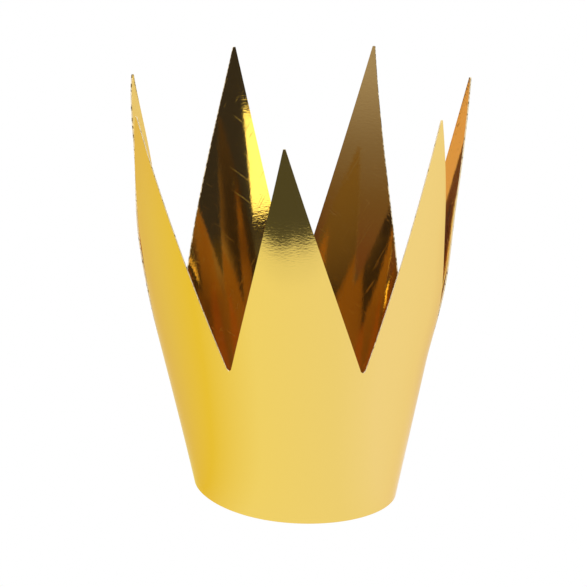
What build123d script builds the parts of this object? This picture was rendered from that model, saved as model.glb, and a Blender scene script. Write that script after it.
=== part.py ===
from build123d import *
from math import atan, cos, pi, radians, sin
import os

# A party crown made of one die-cut sheet of card, rolled into a flaring cone and closed behind its
# right side. Millimetres, +Z up. The crown stands on its rim, in the plane Z = 0, and its front
# point faces -Y. Azimuths are in degrees, counted from -Y, and grow towards -X.

# The sheet
card = 0.3
crown_height = 100.0
notch_height = 38.3
tip_width = 0.5
notch_radius = 0.65

# The section at the rim: a circle drawn out into an oval, whose long way is at a turn from the front
rim_radius = 25.54
rim_oval = 2.2
rim_oval_turn = -26.8

# The section at the height of the tips: wider, another oval, and shifted towards the front
top_radius = 43.6
top_oval = 1.7
top_oval_turn = 84.0
top_shift = 7.7
top_shift_turn = 12.0

# From the front point on towards -X: the azimuth of each point's tip, that of the notch after it,
# and how far the point bends outwards at its tip
tips = [3.0, 52.9, 105.8, 158.2, 204.5, 255.6, 311.5]
notches = [27.4, 79.6, 119.9, 178.5, 241.5, 284.6, 332.9]
bends = [5.8, -3.7, -3.2, 6.5, 9.9, 0.8, -3.1]

# The closure, under one of the notches. There, one end of the sheet steps in under the other and
# runs on as a glued flap. The tongue at the flap's end comes out through a slit and lies outside.
seam_notch = 4
step_length = 7.0
tuck = 1.5
flap_length = 10.0
flap_slope = 5.0
glue = 0.02
tongue_length = 5.6
tongue_short = 3.0
tongue_root = 2.0
tongue_height = 3.6
tongue_rise = 5.0
tongue_radius = 0.8

# How finely the sections are drawn, and how far each cut is drawn past the sheet's top
section_points = 48
sections_above_notches = 5
overshoot = 1.1

points = len(tips)
flare = atan((top_radius - rim_radius) / crown_height)
wall = card / cos(flare)
point_height = crown_height - notch_height


def turned(azimuths, k):
    """Azimuth k of a list, in radians, counted on past a full turn after the last one."""
    return radians(azimuths[k % points]) + 2 * pi * (k // points)


seam = turned(notches, seam_notch)


def wave(size, turn, count, azimuth):
    """A wave that goes round the section count times, with a crest at turn degrees."""
    return size * cos(count * (azimuth - radians(turn)))


def cone_radius(azimuth, height):
    """The radius before any point bends: straight lines run from the rim to the top section."""
    rim = rim_radius + wave(rim_oval, rim_oval_turn, 2, azimuth)
    top = top_radius + wave(top_oval, top_oval_turn, 2, azimuth)
    top += wave(top_shift, top_shift_turn, 1, azimuth)
    return rim + (top - rim) * height / crown_height


def place(azimuth, radius, height):
    """The place of a radius at an azimuth and height."""
    return Vector(-radius * sin(azimuth), -radius * cos(azimuth), height)


def ease(t):
    """A smooth step from 0 to 1."""
    t = min(max(t, 0.0), 1.0)
    return t * t * (3 - 2 * t)


def bend(azimuth, height):
    """How far the sheet bends outwards: one bend over each point, and the change in the notches."""
    rise = (height - notch_height) / point_height
    if rise <= 0.0:
        return 0.0
    azimuth = (azimuth - turned(tips, 0)) % (2 * pi) + turned(tips, 0)
    k = max(k for k in range(points) if turned(tips, k) <= azimuth)
    here, there = turned(tips, k), turned(tips, k + 1)
    between = (azimuth - here) / (there - here)
    bottom = (turned(notches, k) - here) / (there - here)
    opened = min(rise, 1.0)
    change = ease((between - bottom * (1 - opened)) / opened)
    return (bends[k] + (bends[(k + 1) % points] - bends[k]) * change) * rise ** 2


def sheet_radius(azimuth, height):
    """The radius of the middle of the sheet."""
    return cone_radius(azimuth, height) + bend(azimuth, height)


def tube(offset, lap, over):
    """A solid filled out to offset from the middle of the sheet, from one end of it to the other.

    Its section starts at the seam, or a lap past it. The last stretch steps in by the sheet's
    thickness, to lie under the first, and a straight jog closes it.
    """
    turns = [2 * pi * i / section_points for i in range(section_points + 1)]
    steps = range(sections_above_notches)
    heights = [-over] + [notch_height + point_height * i / sections_above_notches for i in steps]
    heights += [crown_height + over]
    outlines = []
    for height in heights:
        places = []
        for turn in turns:
            azimuth = seam + lap / rim_radius + turn
            before_seam = (seam + 2 * pi - azimuth) * rim_radius
            step = wall * ease(1 - before_seam / step_length)
            places.append(place(azimuth, sheet_radius(azimuth, height) + offset - step, height))
        round_the_crown = Edge.make_spline(places, parameters=turns)
        jog = Edge.make_line(places[-1], places[0])
        outlines.append(Wire([round_the_crown, jog]))
    return Solid.make_loft(outlines, ruled=True)


def view_from(azimuth):
    """The upright plane through the axis that is seen square on from an azimuth."""
    side = Vector(cos(azimuth), -sin(azimuth), 0)
    return Plane(origin=(0, 0, 0), x_dir=side, z_dir=place(azimuth, 1, 0))


def seen(view, azimuth, height):
    """A place on the middle of the sheet, as drawn in a view."""
    spot = view.to_local_coords(place(azimuth, sheet_radius(azimuth, height), height))
    return (spot.X, spot.Y)


def notch(k):
    """The cut between points k and k + 1: a V with a rounded bottom and a straight side to each tip."""
    view = view_from(turned(notches, k))
    before, _ = seen(view, turned(tips, k), crown_height)
    after, _ = seen(view, turned(tips, k + 1), crown_height)
    top = notch_height + overshoot * point_height
    corners = [(0, notch_height), (overshoot * (before - tip_width / 2), top)]
    corners.append((overshoot * (after + tip_width / 2), top))
    outline = Polygon(*corners, align=None)
    outline = fillet(outline.vertices().sort_by(Axis.Y)[0], notch_radius)
    return extrude(view * outline, 2 * top_radius)


def flap():
    """The glued end of the sheet, on the inside, from just past the seam to the slit."""
    start = seam + tuck / 2 / rim_radius
    end = seam + flap_length / rim_radius
    view = view_from((start + end) / 2)
    corners = [(start, -card), (start, notch_height)]
    corners += [(end, notch_height - flap_slope), (end, -card)]
    outline = Polygon(*[seen(view, azimuth, height) for azimuth, height in corners], align=None)
    inside = -3 / 2 * wall - glue
    lining = tube(inside + wall + 2 * glue, tuck, 0) - tube(inside, tuck, card)
    return lining & extrude(view * outline, 2 * top_radius)


def tongue():
    """The half arrow at the flap's end, flat where the sheet curves away from it."""
    slit = seam + flap_length / rim_radius
    low, high = tongue_rise, tongue_rise + tongue_height
    root = place(slit, sheet_radius(slit, low) + wall / 2, low)
    upwards = place(slit, sheet_radius(slit, high) + wall / 2, high) - root
    nudge = radians(1)
    side = place(slit - nudge, sheet_radius(slit - nudge, low), low)
    side -= place(slit + nudge, sheet_radius(slit + nudge, low), low)
    corners = [(tongue_root, 0), (-tongue_short, 0)]
    corners += [(-tongue_length, tongue_height), (tongue_root, tongue_height)]
    outline = Polygon(*corners, align=None)
    outline = fillet(outline.vertices().sort_by(Axis.X)[:2], tongue_radius)
    flat = Plane(origin=root, x_dir=side, z_dir=side.cross(upwards))
    return extrude(flat * outline, card / 2, both=True)


crown = tube(wall / 2, 0, 0) - tube(-wall / 2, tuck, card)
for k in range(points):
    crown -= notch(k)
crown += flap()
crown += tongue()

# The origin lies under the middle of the crown's outer box
middle_of_box = crown.bounding_box().center()
crown = Pos(-middle_of_box.X, -middle_of_box.Y, 0) * crown

os.makedirs("parts", exist_ok=True)
export_step(crown, "parts/crown_sheet.step")
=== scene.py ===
"""A small gold party crown, cut from one sheet of metallised card, on a white studio table."""

import math

import bpy
import numpy as np
from mathutils import Matrix, Vector


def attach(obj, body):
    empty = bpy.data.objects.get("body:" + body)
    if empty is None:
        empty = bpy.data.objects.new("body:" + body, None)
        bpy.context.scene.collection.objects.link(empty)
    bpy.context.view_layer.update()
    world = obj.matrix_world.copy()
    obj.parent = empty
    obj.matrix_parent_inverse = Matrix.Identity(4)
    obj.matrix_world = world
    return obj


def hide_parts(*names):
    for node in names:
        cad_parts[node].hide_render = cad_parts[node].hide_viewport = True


bl_info = {
    "name": "Paper Crown",
    "version": (1, 0, 0),
    "blender": (4, 5, 0),
    "location": "3D View > Sidebar > Paper Crown",
    "description": "Builds a die-cut party crown of gold card and the studio it is photographed in",
    "category": "Object",
}

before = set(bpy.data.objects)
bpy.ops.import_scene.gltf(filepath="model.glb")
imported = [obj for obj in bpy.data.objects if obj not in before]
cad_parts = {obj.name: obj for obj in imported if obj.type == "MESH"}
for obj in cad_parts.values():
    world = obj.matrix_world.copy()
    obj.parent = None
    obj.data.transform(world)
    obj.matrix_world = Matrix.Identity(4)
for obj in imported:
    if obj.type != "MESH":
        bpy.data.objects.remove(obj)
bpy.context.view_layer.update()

# The sheet, in millimetres and degrees, as in the part's source, except that the first and the last
# notch lie one degree nearer the front point. Azimuths are counted from -Y and grow towards -X.
CARD = 0.3
HEIGHT = 100.0
NOTCH = 38.3
TIP_WIDTH = 0.5
NOTCH_RADIUS = 0.65
# The sections at the rim and at the tips are ovals, and the upper one is shifted
RIM_RADIUS, RIM_OVAL, RIM_OVAL_TURN = 25.54, 2.2, -26.8
TOP_RADIUS, TOP_OVAL, TOP_OVAL_TURN = 43.6, 1.7, 84.0
TOP_SHIFT, TOP_SHIFT_TURN = 7.7, 12.0
# Each point's tip, the notch after it, and how far the point bends outwards at its tip
TIPS = np.radians([3.0, 52.9, 105.8, 158.2, 204.5, 255.6, 311.5])
NOTCHES = np.radians([26.4, 79.6, 119.9, 178.5, 241.5, 284.6, 333.9])
BENDS = np.array([5.8, -3.7, -3.2, 6.5, 9.9, 0.8, -3.1])
POINTS = len(TIPS)
# The closure: the notch over it, the stretch that steps in, the glued flap and its tongue
SEAM_NOTCH = 4
STEP_LENGTH = 7.0
FLAP_LENGTH = 10.0
FLAP_SLOPE = 5.0
GLUE = 0.02
TONGUE_LENGTH, TONGUE_SHORT, TONGUE_ROOT = 5.6, 3.0, 2.0
TONGUE_RISE, TONGUE_HEIGHT, TONGUE_RADIUS = 5.0, 3.6, 0.8
# The card as a level section cuts it
WALL = CARD / math.cos(math.atan((TOP_RADIUS - RIM_RADIUS) / HEIGHT))
# Small curls that only the visual model has: the azimuth and height of the middle of each, how many
# degrees it reaches to either side and millimetres up and down, and how far out the card lies there
CURLS = [(98.0, 80.0, 30.0, 20.0, -0.85), (283.0, 54.0, 26.0, 20.0, 0.85)]
# From the crown's own axis to the middle of its outer box
SHIFT = np.array([-0.667, 7.062, 0.0])


def linear(code):
    """An sRGB hex code as linear red, green, blue and alpha."""
    levels = [int(code[i : i + 2], 16) / 255 for i in (1, 3, 5)]
    return tuple(v / 12.92 if v <= 0.04045 else ((v + 0.055) / 1.055) ** 2.4 for v in levels) + (1.0,)


# The sheet's shape


def wave(size, turn, count, azimuth):
    """A wave that goes round the section count times, with a crest at turn degrees."""
    return size * np.cos(count * (azimuth - math.radians(turn)))


def ease(t):
    """A smooth step from 0 to 1."""
    t = np.clip(t, 0.0, 1.0)
    return t * t * (3 - 2 * t)


def unwrapped(azimuths, k):
    """Azimuth k of a list, counted on past a full turn after the last one, and back before the first."""
    return azimuths[k % POINTS] + 2 * math.pi * (k // POINTS)


def sheet_radius(azimuth, height):
    """The radius of the middle of the sheet.

    It runs straight from the rim's oval to the top one. Above the notches each point's bend comes
    on top, which grows with the square of the height over them and eases into the next in a notch.
    """
    rim = RIM_RADIUS + wave(RIM_OVAL, RIM_OVAL_TURN, 2, azimuth)
    top = TOP_RADIUS + wave(TOP_OVAL, TOP_OVAL_TURN, 2, azimuth) + wave(TOP_SHIFT, TOP_SHIFT_TURN, 1, azimuth)
    radius = rim + (top - rim) * height / HEIGHT
    rise = np.maximum((height - NOTCH) / (HEIGHT - NOTCH), 0.0)
    ends = np.append(TIPS, TIPS[0] + 2 * math.pi)
    turned = (azimuth - TIPS[0]) % (2 * math.pi) + TIPS[0]
    k = np.clip(np.searchsorted(ends, turned, side="right") - 1, 0, POINTS - 1)
    between = (turned - ends[k]) / (ends[k + 1] - ends[k])
    bottom = (NOTCHES[k] - ends[k]) / (ends[k + 1] - ends[k])
    opened = np.clip(rise, 1e-6, 1.0)
    change = ease((between - bottom * (1 - opened)) / opened)
    radius = radius + (BENDS[k] + (BENDS[(k + 1) % POINTS] - BENDS[k]) * change) * rise**2
    for middle, level, reach, spread, amount in CURLS:
        off = (azimuth - math.radians(middle) + math.pi) % (2 * math.pi) - math.pi
        aside = np.abs(off) / math.radians(reach)
        radius = radius + amount * ease(1 - aside) * ease(1 - np.abs(height - level) / spread)
    return radius


def places(azimuth, radius, height):
    """Places in millimetres, in the row frame."""
    spots = np.stack([-radius * np.sin(azimuth), -radius * np.cos(azimuth), height + 0 * radius], axis=-1)
    return spots + SHIFT


def cut(k, side, height):
    """The azimuth of one side of notch k at each height: a straight cut to the tip, as seen square on.

    Side 1 is the edge of the point before the notch, and -1 that of the point after it. The cut runs
    from the middle of the notch to the tip, and over the round at its bottom its distance from the
    middle is less, by the square root of the height's share of the round. Also says which heights
    lie below the notch, where the card is whole.
    """
    middle = unwrapped(NOTCHES, k)

    def reach(j):
        tip = unwrapped(TIPS, j)
        return float(sheet_radius(np.array(tip), np.array(HEIGHT)) * math.sin(middle - tip))

    before, after = reach(k) - TIP_WIDTH / 2, reach(k + 1) + TIP_WIDTH / 2
    half = math.atan((before - after) / 2 / (HEIGHT - NOTCH))
    low = NOTCH_RADIUS * (1 / math.sin(half) - 1)
    high = NOTCH_RADIUS * (1 / math.sin(half) - math.sin(half))
    rounding = np.sqrt(np.clip((height - NOTCH - low) / (high - low), 0.0, 1.0))
    across = (before if side > 0 else after) * (height - NOTCH) / (HEIGHT - NOTCH) * rounding
    azimuth = np.full_like(height, middle)
    # Each pass turns by the distance over the radius that the pass before gave, until they agree
    for _ in range(12):
        azimuth = middle - np.arcsin(np.clip(across / sheet_radius(azimuth, height), -1, 1))
    return np.where(across == 0.0, middle, azimuth), across == 0.0


class Pile:
    """Collects vertices and faces of one mesh, each face with its material slot."""

    def __init__(self):
        self.spots, self.faces, self.slots, self.size = [], [], [], 0

    def add(self, spots):
        """Adds vertices and returns their numbers in the same layout."""
        count = int(np.prod(spots.shape[:-1]))
        numbers = np.arange(self.size, self.size + count).reshape(spots.shape[:-1])
        self.spots.append(spots.reshape(-1, 3))
        self.size += count
        return numbers

    def quads(self, a, b, c, d, slot):
        """Adds a quad for each entry of four arrays of vertex numbers."""
        made = np.stack([a, b, c, d], axis=-1).reshape(-1, 4)
        self.faces.extend(made.tolist())
        self.slots.extend([slot] * len(made))

    def skin(self, grid, slot, outwards):
        """Adds the quads of a grid of rows and columns."""
        low, high = grid[:-1], grid[1:]
        if outwards:
            self.quads(low[:, :-1], high[:, :-1], high[:, 1:], low[:, 1:], slot)
        else:
            self.quads(low[:, :-1], low[:, 1:], high[:, 1:], high[:, :-1], slot)

    def band(self, outer, inner, slot, flip):
        """Adds the cut edge between a line of vertices on the outside and one on the inside."""
        if flip:
            outer, inner = inner, outer
        self.quads(outer[:-1], inner[:-1], inner[1:], outer[1:], slot)


OUTSIDE, INSIDE, EDGE = 0, 1, 2


def sheet_pile(columns):
    """The whole sheet: a strip of columns for each point, joined below the notches, then the flap.

    Each row's azimuths run evenly from one cut to the next. Rows lie closest round the notch bottoms.
    """
    past_round = NOTCH + 2.4
    lower = np.linspace(0, NOTCH, 22)
    notch_bottom = np.linspace(NOTCH, past_round, 19)[1:]
    upper = past_round + (HEIGHT - past_round) * np.linspace(0, 1, 66)[1:]
    rows = np.concatenate([lower, notch_bottom, upper])
    share = np.linspace(0, 1, columns + 1)
    seam = unwrapped(NOTCHES, SEAM_NOTCH)
    pile = Pile()
    strips = []
    for k in range(POINTS):
        left, left_joined = cut(k - 1, -1, rows)
        right, right_joined = cut(k, 1, rows)
        azimuth = left[:, None] + (right - left)[:, None] * share
        height = np.repeat(rows[:, None], columns + 1, axis=1)
        radius = sheet_radius(azimuth, height)
        if k == SEAM_NOTCH:
            radius = radius - WALL * ease(1 - (seam - azimuth) * RIM_RADIUS / STEP_LENGTH)
        outer = pile.add(places(azimuth, radius + WALL / 2, height))
        inner = pile.add(places(azimuth, radius - WALL / 2, height))
        strips.append([outer, inner, left_joined, right_joined])
    for k in range(POINTS):
        outer, inner, _, joined = strips[k]
        if k != SEAM_NOTCH:
            following = strips[(k + 1) % POINTS]
            outer[joined, -1] = following[0][joined, 0]
            inner[joined, -1] = following[1][joined, 0]
    for k in range(POINTS):
        outer, inner, left_joined, right_joined = strips[k]
        pile.skin(outer, OUTSIDE, True)
        pile.skin(inner, INSIDE, False)
        first = 0 if k == SEAM_NOTCH + 1 else int(left_joined.sum()) - 1
        pile.band(outer[first:, 0], inner[first:, 0], EDGE, False)
        first = int(right_joined.sum()) - 1
        pile.band(outer[first:, -1], inner[first:, -1], EDGE, True)
        pile.quads(outer[-1, :-1], inner[-1, :-1], inner[-1, 1:], outer[-1, 1:], EDGE)
        pile.quads(outer[0, :-1], outer[0, 1:], inner[0, 1:], inner[0, :-1], EDGE)
    outer, inner, _, joined = strips[SEAM_NOTCH]
    add_flap(pile, outer[joined, -1], inner[joined, -1], rows[joined], seam)
    add_tongue(pile, seam)
    return pile


def add_flap(pile, outer_start, inner_start, rows, seam):
    """The glued end: it goes on from the stepped end of the sheet, and its top edge slopes down."""
    steps = np.linspace(0, 1, 13)[1:]
    azimuth = np.repeat((seam + steps * FLAP_LENGTH / RIM_RADIUS)[None, :], len(rows), axis=0)
    height = rows[:, None] * (1 - steps[None, :] * FLAP_SLOPE / NOTCH)
    radius = sheet_radius(azimuth, height) - WALL - GLUE
    outer = pile.add(places(azimuth, radius + WALL / 2, height))
    inner = pile.add(places(azimuth, radius - WALL / 2, height))
    outer = np.concatenate([outer_start[:, None], outer], axis=1)
    inner = np.concatenate([inner_start[:, None], inner], axis=1)
    pile.skin(outer, OUTSIDE, True)
    pile.skin(inner, INSIDE, False)
    pile.band(outer[:, -1], inner[:, -1], EDGE, True)
    pile.quads(outer[-1, :-1], inner[-1, :-1], inner[-1, 1:], outer[-1, 1:], EDGE)
    pile.quads(outer[0, :-1], outer[0, 1:], inner[0, 1:], inner[0, :-1], EDGE)


def rounded(corners, radius):
    """A polygon with a radius at each corner, or a sharp corner where it is 0.

    The arc's centre lies on the line that halves the corner, at the radius over the sine of half of it.
    """
    spots = []
    for i, corner in enumerate(corners):
        corner = np.array(corner)
        if not radius[i]:
            spots.append(corner)
            continue
        back = np.array(corners[i - 1]) - corner
        ahead = np.array(corners[(i + 1) % len(corners)]) - corner
        back, ahead = back / np.linalg.norm(back), ahead / np.linalg.norm(ahead)
        half = math.acos(np.clip(back @ ahead, -1, 1)) / 2
        centre = corner + (back + ahead) / np.linalg.norm(back + ahead) * radius[i] / math.sin(half)
        start, end = corner + back * radius[i] / math.tan(half), corner + ahead * radius[i] / math.tan(half)
        for t in np.linspace(0, 1, 9):
            arm = (1 - t) * start + t * end - centre
            spots.append(centre + arm / np.linalg.norm(arm) * radius[i])
    return np.array(spots)


def add_tongue(pile, seam):
    """The half arrow that comes out of a slit and lies outside, flat where the sheet curves away."""
    slit = seam + FLAP_LENGTH / RIM_RADIUS
    ends = np.array([TONGUE_RISE, TONGUE_RISE + TONGUE_HEIGHT])
    low, high = places(np.array([slit, slit]), sheet_radius(np.array([slit, slit]), ends) + WALL / 2, ends)
    turn = np.array([slit - math.radians(1), slit + math.radians(1)])
    ahead, behind = places(turn, sheet_radius(turn, np.full(2, TONGUE_RISE)), np.full(2, TONGUE_RISE))
    across = (ahead - behind) / np.linalg.norm(ahead - behind)
    facing = np.cross(across, high - low)
    facing /= np.linalg.norm(facing)
    upwards = np.cross(facing, across)
    corners = [(TONGUE_ROOT, 0), (-TONGUE_SHORT, 0)]
    corners += [(-TONGUE_LENGTH, TONGUE_HEIGHT), (TONGUE_ROOT, TONGUE_HEIGHT)]
    outline = rounded(corners, [0, TONGUE_RADIUS, TONGUE_RADIUS, 0])
    flat = low + outline[:, :1] * across + outline[:, 1:] * upwards
    outwards = facing if facing @ (low - SHIFT) > 0 else -facing
    front = pile.add(flat + outwards * CARD / 2)
    back = pile.add(flat - outwards * CARD / 2)
    clockwise = (facing @ outwards) > 0
    pile.faces.append(front.tolist()[::-1] if clockwise else front.tolist())
    pile.faces.append(back.tolist() if clockwise else back.tolist()[::-1])
    pile.slots.extend([OUTSIDE, INSIDE])
    ring_front, ring_back = np.append(front, front[0]), np.append(back, back[0])
    pile.band(ring_front, ring_back, EDGE, clockwise)


# Materials


def new_tree(owner):
    """Empties the node tree of a material or world. Gives a function that adds a node to it."""
    owner.use_nodes = True
    tree = owner.node_tree
    tree.nodes.clear()

    def add(kind, settings=None, stops=(), **inputs):
        """Adds a node with its settings, the rising stops of its colour ramp, and values or links."""
        node = tree.nodes.new(kind)
        for key, value in (settings or {}).items():
            setattr(node, key, value)
        for key, value in inputs.items():
            numbered = key[0] == "i" and key[1:].isdigit()
            socket = node.inputs[int(key[1:]) if numbered else key.replace("_", " ")]
            if isinstance(value, bpy.types.NodeSocket):
                tree.links.new(value, socket)
            else:
                socket.default_value = value
        for number, (position, colour) in enumerate(stops):
            elements = node.color_ramp.elements
            element = elements[number] if number < 2 else elements.new(position)
            element.position, element.color = position, colour
        return node

    return add


def per_metre(spacing):
    """The scale of a noise whose features lie that many millimetres apart, in coordinates in metres."""
    return 1000 / spacing


def scuffed(add, where, roughness, scuffs):
    """A roughness with scratches in two directions, which are that much rougher.

    A scratch is where a noise, drawn out fifty times along it, comes near its highest. Real scratches
    are some hundredths of a millimetre wide, too fine to show, and are drawn 0.4 mm wide.
    """
    marks = []
    for tilt in (0.9, -0.5):
        turned = add("ShaderNodeMapping", Vector=where, Rotation=(0.0, tilt, 0.0))
        drawn_out = add("ShaderNodeMapping", Vector=turned.outputs[0], Scale=(1.0, 0.3, 0.02))
        lines = add("ShaderNodeTexNoise", Vector=drawn_out.outputs[0], Scale=per_metre(0.385), Detail=0.0)
        marks.append(add("ShaderNodeMapRange", i0=lines.outputs["Fac"], i1=0.74, i2=0.82).outputs[0])
    scratched = add("ShaderNodeMath", {"operation": "MAXIMUM"}, i0=marks[0], i1=marks[1])
    rough = add("ShaderNodeMapRange", i0=scratched.outputs[0], i3=roughness, i4=roughness + scuffs)
    return rough.outputs[0]


def foil(name, colour, roughness, grain, scuffs, haze):
    """Card faced with metallised film under a golden lacquer: nearly a mirror, in the lacquer's colour.

    The card under the film tells the eye that it isn't sheet metal: bundles of fibres, drawn out
    sideways, and a swell of 7.7 mm, which the height takes 1.6 times. The bundles are finer in real
    card, too fine to show, and are drawn 0.9 mm apart. A thin matt coat dulls the mirror as rubbing does.
    """
    material = bpy.data.materials.new(name)
    add = new_tree(material)
    where = add("ShaderNodeTexCoord").outputs["Object"]
    wide = add("ShaderNodeMapping", Vector=where, Scale=(1.0, 1.0, 2.2))
    fibres = add(
        "ShaderNodeTexNoise", Vector=wide.outputs[0], Scale=per_metre(0.91), Detail=2.0, Roughness=0.5
    )
    swell = add("ShaderNodeTexNoise", Vector=where, Scale=per_metre(7.7), Detail=1.0)
    uneven = add(
        "ShaderNodeMath", {"operation": "MULTIPLY_ADD"},
        i0=swell.outputs["Fac"], i1=1.6, i2=fibres.outputs["Fac"],
    )
    bump = add("ShaderNodeBump", Strength=grain, Distance=0.00006, Height=uneven.outputs[0])
    surface = add(
        "ShaderNodeBsdfPrincipled",
        Base_Color=colour,
        Metallic=1.0,
        Roughness=scuffed(add, where, roughness, scuffs) if scuffs else roughness,
        Normal=bump.outputs[0],
        Specular_Tint=linear("#F6E7CB"),
        Coat_Weight=haze,
        Coat_Roughness=0.5,
    )
    add("ShaderNodeOutputMaterial", Surface=surface.outputs[0])
    return material


def card_core(colour):
    """The card's pale core, seen where it is cut: matt cream, a light line round every sheet of foil.

    Brown flecks, 0.8 mm apart, lie over it, more towards the back. The noise that draws them is raised
    from the front to the back and near the rim, and the core is brown where the sum is high.
    """
    material = bpy.data.materials.new("Card core")
    add = new_tree(material)
    where = add("ShaderNodeTexCoord").outputs["Object"]
    depth = add("ShaderNodeSeparateXYZ", Vector=where)
    # Brown flecks, raised from the front to the back and near the rim
    backward = add("ShaderNodeMapRange", i0=depth.outputs["Y"], i1=0.008, i2=0.03, i3=-0.14, i4=0.02)
    flecks = add("ShaderNodeTexNoise", Vector=where, Scale=per_metre(0.83), Detail=2.0)
    low = add("ShaderNodeMapRange", i0=depth.outputs["Z"], i1=0.012, i2=0.016, i3=0.2, i4=0.0)
    fleck_bias = add("ShaderNodeMath", i0=backward.outputs[0], i1=low.outputs[0])
    fleck_level = add("ShaderNodeMath", i0=flecks.outputs["Fac"], i1=fleck_bias.outputs[0])
    brown = [(0.44, colour), (0.56, linear("#7A6030"))]
    core = add("ShaderNodeValToRGB", stops=brown, i0=fleck_level.outputs[0])
    surface = add("ShaderNodeBsdfPrincipled", Base_Color=core.outputs[0], Roughness=0.8)
    add("ShaderNodeOutputMaterial", Surface=surface.outputs[0])
    return material


# What a user can change


class CrownSettings(bpy.types.PropertyGroup):
    """The foil's colours and gloss, and how finely the sheet is drawn."""

    outside: bpy.props.FloatVectorProperty(
        name="Outside", description="Colour of the foil outside", subtype="COLOR", size=4, min=0, max=1,
        default=linear("#F0D07C"),
    )
    inside: bpy.props.FloatVectorProperty(
        name="Inside", description="Colour of the foil inside", subtype="COLOR", size=4, min=0, max=1,
        default=linear("#F1C76C"),
    )
    core: bpy.props.FloatVectorProperty(
        name="Core", description="Colour of the card where it is cut", subtype="COLOR", size=4, min=0, max=1,
        default=linear("#F0DCB4"),
    )
    outside_roughness: bpy.props.FloatProperty(
        name="Outside Roughness", description="0 is a mirror, 1 is matt",
        subtype="FACTOR", min=0, max=1, default=0.025,
    )
    inside_roughness: bpy.props.FloatProperty(
        name="Inside Roughness", description="0 is a mirror, 1 is matt",
        subtype="FACTOR", min=0, max=1, default=0.055,
    )
    columns: bpy.props.IntProperty(
        name="Columns", description="Columns of faces over each point", min=8, max=80, default=40,
    )


class StageSettings(bpy.types.PropertyGroup):
    """The table, the lights and the lens."""

    table_front: bpy.props.FloatProperty(
        name="Table Front", description="How far the white table reaches in front of the crown",
        unit="LENGTH", default=0.0932,
    )
    key_strength: bpy.props.FloatProperty(
        name="Key Strength", description="Radiance of the softbox in front", min=0, default=1.9,
    )
    top_strength: bpy.props.FloatProperty(
        name="Top Strength", description="Radiance of the softbox above", min=0, default=6.5,
    )
    lens: bpy.props.FloatProperty(
        name="Lens", description="Focal length in millimetres on a 36 mm sensor", min=1, default=235.0,
    )


# Pieces


class CROWN_OT_sheet(bpy.types.Operator):
    """Builds the folded sheet: seven points, the overlap, the glued flap and its tongue"""

    bl_idname = "crown.sheet"
    bl_label = "Crown Sheet"

    def execute(self, context):
        s = context.scene.crown_settings
        pile = sheet_pile(s.columns)
        spots = np.concatenate(pile.spots) / 1000
        mesh = bpy.data.meshes.new("Gold_card_sheet")
        used, numbers = np.unique(np.concatenate([np.array(f) for f in pile.faces]), return_inverse=True)
        ends = np.cumsum([len(f) for f in pile.faces])
        faces = [part.tolist() for part in np.split(numbers, ends[:-1])]
        mesh.from_pydata(spots[used].tolist(), [], faces)
        mesh.polygons.foreach_set("material_index", np.array(pile.slots, dtype=np.int32))
        mesh.polygons.foreach_set("use_smooth", np.ones(len(faces), dtype=bool))
        mesh.materials.append(
            foil("Gold foil outside", s.outside, s.outside_roughness, grain=0.08, scuffs=0.0, haze=0.1)
        )
        mesh.materials.append(
            foil("Gold foil inside", s.inside, s.inside_roughness, grain=0.16, scuffs=0.2, haze=0.4)
        )
        mesh.materials.append(card_core(s.core))
        self.crease(mesh)
        mesh.validate()
        mesh.update()
        sheet = bpy.data.objects.new("Gold_card_sheet", mesh)
        context.scene.collection.objects.link(sheet)
        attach(sheet, "root")
        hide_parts("crown_sheet")
        return {"FINISHED"}

    @staticmethod
    def crease(mesh):
        """Marks as sharp the edges whose faces have different material slots."""
        edge_of_loop = np.empty(len(mesh.loops), dtype=np.int32)
        mesh.loops.foreach_get("edge_index", edge_of_loop)
        totals = np.empty(len(mesh.polygons), dtype=np.int32)
        mesh.polygons.foreach_get("loop_total", totals)
        slots = np.empty(len(mesh.polygons), dtype=np.int32)
        mesh.polygons.foreach_get("material_index", slots)
        slot_of_loop = np.repeat(slots, totals)
        lowest = np.full(len(mesh.edges), 9)
        highest = np.full(len(mesh.edges), -1)
        np.minimum.at(lowest, edge_of_loop, slot_of_loop)
        np.maximum.at(highest, edge_of_loop, slot_of_loop)
        sharp = mesh.attributes.new("sharp_edge", "BOOLEAN", "EDGE")
        sharp.data.foreach_set("value", lowest != highest)


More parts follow.
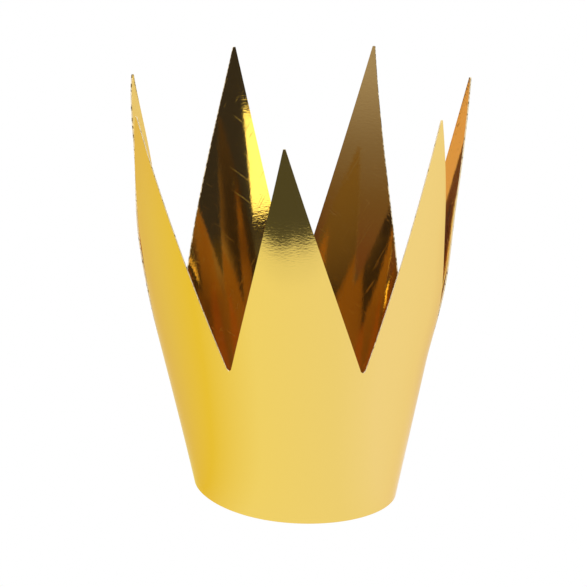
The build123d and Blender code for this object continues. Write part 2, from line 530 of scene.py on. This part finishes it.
class CROWN_OT_stage(bpy.types.Operator):
    """Builds the white table, the softboxes, the dark room and the camera"""

    bl_idname = "crown.stage"
    bl_label = "Stage"

    def execute(self, context):
        s = context.scene.stage_settings
        self.table(context, s)
        right, above = (0.225, -0.77, 0.158), (-0.1, -0.5, 0.8)
        self.softbox(context, "Right_softbox", right, (0.25, 0.185), s.key_strength, "#FFFFCB", True)
        self.softbox(context, "Top_softbox", above, (0.6, 0.6), s.top_strength, "#FFFFFF", False)
        self.room(context)
        self.camera(context, s)
        scene = context.scene
        scene.view_settings.view_transform = "Standard"
        scene.cycles.max_bounces = 10
        scene.cycles.glossy_bounces = 8
        return {"FINISHED"}

    @staticmethod
    def table(context, s):
        """A white table, which glows in soft tints where the foil mirrors it, as painted reflections: warm at
        the left, white at the right.

        The painted reflections' colour goes by the degrees from the front, which grow to the right, and gives
        way to others at the table's far ends. Over the last centimetre before the front edge the glow grows
        dark, as painted shade.
        """
        half, front, wing, corner = 1.5, -s.table_front - 0.012, 0.25, -1.7
        outline = [(-half, front), (wing, front), (half, corner), (half, half), (-half, half)]
        just_below = -0.0003
        mesh = bpy.data.meshes.new("Table")
        mesh.from_pydata([(x, y, just_below) for x, y in outline], [], [tuple(range(len(outline)))])
        table = bpy.data.objects.new("Table", mesh)
        context.scene.collection.objects.link(table)
        material = bpy.data.materials.new("White table with painted reflections")
        add = new_tree(material)
        where = add("ShaderNodeTexCoord").outputs["Object"]
        spot = add("ShaderNodeSeparateXYZ", Vector=where)
        x, y = spot.outputs["X"], spot.outputs["Y"]
        ahead = add("ShaderNodeMath", {"operation": "SUBTRACT"}, i0=0.007, i1=y)
        angle = add("ShaderNodeMath", {"operation": "ARCTAN2"}, i0=x, i1=ahead.outputs[0])
        share = add("ShaderNodeMapRange", i0=angle.outputs[0], i1=-math.pi, i2=math.pi)
        # Painted reflections: the colours the table glows in for glossy rays, by the degrees from the front
        painted_reflection_tints = [
            (-170, "#EFE1BC"),
            (-110, "#F3EAA2"),
            (-75, "#F7EB69"),
            (-30, "#FFFFCE"),
            (25, "#FCFCE2"),
            (60, "#FFFFFF"),
            (115, "#FFFFFF"),
            (165, "#EFE1BC"),
        ]
        stops = [((turn + 180) / 360, linear(painted_reflection_tint)) for turn, painted_reflection_tint in painted_reflection_tints]
        near = add("ShaderNodeValToRGB", stops=stops, i0=share.outputs[0])
        left = add("ShaderNodeMapRange", i0=x, i1=-0.16, i2=-0.45)
        right = add("ShaderNodeMapRange", i0=x, i1=0.27, i2=0.45)
        behind = add("ShaderNodeMapRange", i0=y, i1=-0.05, i2=0.05)
        blend = {"data_type": "RGBA"}
        # Painted reflections at the table's far ends: warm at the left, amber in front and pale behind at the
        # right
        amber, pale = linear("#F9CE69"), linear("#F8FFFF")
        far_left = add(
            "ShaderNodeMix", blend, i0=left.outputs[0], i6=near.outputs[0], i7=linear("#EBC29A")
        )
        far_right = add("ShaderNodeMix", blend, i0=behind.outputs[0], i6=amber, i7=pale)
        painted_reflection_tint = add(
            "ShaderNodeMix", blend, i0=right.outputs[0], i6=far_left.outputs[2], i7=far_right.outputs[2]
        )
        # Painted shade: the glow that glossy rays see darkens over the last centimetre before the front edge
        leftwards = add("ShaderNodeMath", {"operation": "MINIMUM"}, i0=x, i1=0.0)
        from_edge = add(
            "ShaderNodeMath", {"operation": "MULTIPLY_ADD"}, i0=leftwards.outputs[0], i1=0.15, i2=y
        )
        low, high = -s.table_front - 0.003, -s.table_front + 0.007
        inwards = add("ShaderNodeMapRange", i0=from_edge.outputs[0], i1=low, i2=high)
        greys = [(0.0, "#525252"), (0.22, "#656565"), (0.3, "#CECECE"), (0.5, "#F3F3F3"), (1.0, "#FFFFFF")]
        stops = [(position, linear(grey)) for position, grey in greys]
        painted_edge_shade = add("ShaderNodeValToRGB", stops=stops, i0=inwards.outputs[0])
        # The camera and all other rays see plain white; glossy rays see the painted reflections and painted
        # shade
        seen = add("ShaderNodeEmission", Color=linear("#FFFFFF"), Strength=1.0)
        mirrored = add("ShaderNodeEmission", Color=painted_reflection_tint.outputs[2], Strength=painted_edge_shade.outputs[0])
        rays = add("ShaderNodeLightPath")
        mixed = add(
            "ShaderNodeMixShader",
            i0=rays.outputs["Is Glossy Ray"], i1=seen.outputs[0], i2=mirrored.outputs[0],
        )
        add("ShaderNodeOutputMaterial", Surface=mixed.outputs[0])
        mesh.materials.append(material)

    @staticmethod
    def softbox(context, name, place, size, strength, colour, mirrored):
        """A rectangle of light that faces the crown, and shows in the foil or only lights the card.

        Its power is its radiance times its area times pi.
        """
        light = bpy.data.lights.new(name, "AREA")
        light.shape = "RECTANGLE"
        light.size, light.size_y = size
        light.color = linear(colour)[:3]
        light.energy = strength * size[0] * size[1] * math.pi
        lamp = bpy.data.objects.new(name, light)
        lamp.visible_glossy = mirrored
        towards = Vector((0, 0, 0.06)) - Vector(place)
        lamp.matrix_world = Matrix.Translation(place) @ towards.to_track_quat("-Z", "Y").to_matrix().to_4x4()
        context.scene.collection.objects.link(lamp)

    @staticmethod
    def room(context):
        """White behind the table for the camera, and a dim room with a window at the left for the rest.

        The room and the window grow lighter upwards. The window fades out 0.5 to 0.85 radians to either
        side of its middle, which is 1 radian left of the front.
        """
        world = bpy.data.worlds.new("Room")
        context.scene.world = world
        add = new_tree(world)
        where = add("ShaderNodeTexCoord").outputs["Generated"]
        parts = add("ShaderNodeSeparateXYZ", Vector=where)
        x, y, z = parts.outputs
        ahead = add("ShaderNodeMath", {"operation": "MULTIPLY"}, i0=y, i1=-1.0)
        angle = add("ShaderNodeMath", {"operation": "ARCTAN2"}, i0=x, i1=ahead.outputs[0])
        dim = [
            (0.0, "#353235"),
            (0.34, "#353336"),
            (0.43, "#6C6970"),
            (0.62, "#9A9A95"),
            (1.0, "#BCC4AA"),
        ]
        bright = [
            (0.0, "#704B31"),
            (0.16, "#766145"),
            (0.29, "#867C7C"),
            (0.46, "#ADACC5"),
        ]
        room = add("ShaderNodeValToRGB", stops=[(at, linear(shade)) for at, shade in dim], i0=z)
        window = add("ShaderNodeValToRGB", stops=[(at, linear(shade)) for at, shade in bright], i0=z)
        off = add("ShaderNodeMath", i0=angle.outputs[0], i1=1.0)
        aside = add("ShaderNodeMath", {"operation": "ABSOLUTE"}, i0=off.outputs[0])
        smooth = {"interpolation_type": "SMOOTHSTEP"}
        lit = add("ShaderNodeMapRange", smooth, i0=aside.outputs[0], i1=0.85, i2=0.5)
        blend = {"data_type": "RGBA"}
        walls = add("ShaderNodeMix", blend, i0=lit.outputs[0], i6=room.outputs[0], i7=window.outputs[0])
        above = add("ShaderNodeMath", {"operation": "GREATER_THAN"}, i0=z, i1=-0.04)
        level = add("ShaderNodeMix", blend, i0=above.outputs[0], i6=linear("#524F45"), i7=walls.outputs[2])
        dark = add("ShaderNodeBackground", Color=level.outputs[2], Strength=1.0)
        white = add("ShaderNodeBackground", Color=linear("#FFFFFF"), Strength=1.0)
        rays = add("ShaderNodeLightPath")
        mixed = add(
            "ShaderNodeMixShader",
            i0=rays.outputs["Is Camera Ray"], i1=dark.outputs[0], i2=white.outputs[0],
        )
        add("ShaderNodeOutputWorld", Surface=mixed.outputs[0])

    @staticmethod
    def camera(context, s):
        """The camera, 0.92 m away and 17.5 degrees above the level of the crown's middle.

        It looks at the middle of the crown's own axis, and then turns by a few thousandths of a radian.
        """
        distance, rise, middle = 0.92202, math.radians(17.5), HEIGHT / 2000
        yaw, pitch, roll = 0.00073, -0.00124, -0.00706
        forward = Vector((0, math.cos(rise), -math.sin(rise)))
        right = Vector((1, 0, 0))
        up = right.cross(forward)
        for axis, turn in (("up", yaw), ("right", pitch), ("forward", roll)):
            spin = Matrix.Rotation(turn, 3, {"up": up, "right": right, "forward": forward}[axis])
            forward, right, up = spin @ forward, spin @ right, spin @ up
        data = bpy.data.cameras.new("Camera")
        data.sensor_width = 36
        data.lens = s.lens
        data.clip_start, data.clip_end = 0.01, 20
        camera = bpy.data.objects.new("Camera", data)
        turned = Matrix((right, up, -forward)).transposed().to_4x4()
        place = Vector((0, -distance * math.cos(rise), middle + distance * math.sin(rise)))
        camera.matrix_world = Matrix.Translation(place + Vector(SHIFT / 1000)) @ turned
        context.scene.collection.objects.link(camera)
        context.scene.camera = camera


class CROWN_PT_panel(bpy.types.Panel):
    """Lists what can be built, with its settings"""

    bl_idname = "CROWN_PT_panel"
    bl_label = "Paper Crown"
    bl_space_type = "VIEW_3D"
    bl_region_type = "UI"
    bl_category = "Paper Crown"

    def draw(self, context):
        scene = context.scene
        parts = ((scene.crown_settings, CROWN_OT_sheet), (scene.stage_settings, CROWN_OT_stage))
        for settings, operator in parts:
            box = self.layout.box()
            for name in settings.__annotations__:
                box.prop(settings, name)
            box.operator(operator.bl_idname)


CLASSES = (CrownSettings, StageSettings, CROWN_OT_sheet, CROWN_OT_stage, CROWN_PT_panel)


def register():
    """Registers the classes and their settings."""
    for cls in CLASSES:
        bpy.utils.register_class(cls)
    bpy.types.Scene.crown_settings = bpy.props.PointerProperty(type=CrownSettings)
    bpy.types.Scene.stage_settings = bpy.props.PointerProperty(type=StageSettings)


def unregister():
    """Takes them out again."""
    del bpy.types.Scene.stage_settings
    del bpy.types.Scene.crown_settings
    for cls in reversed(CLASSES):
        bpy.utils.unregister_class(cls)


def main():
    """Builds the crown and its stage."""
    register()
    bpy.ops.crown.sheet()
    bpy.ops.crown.stage()


if __name__ == "__main__":
    main()
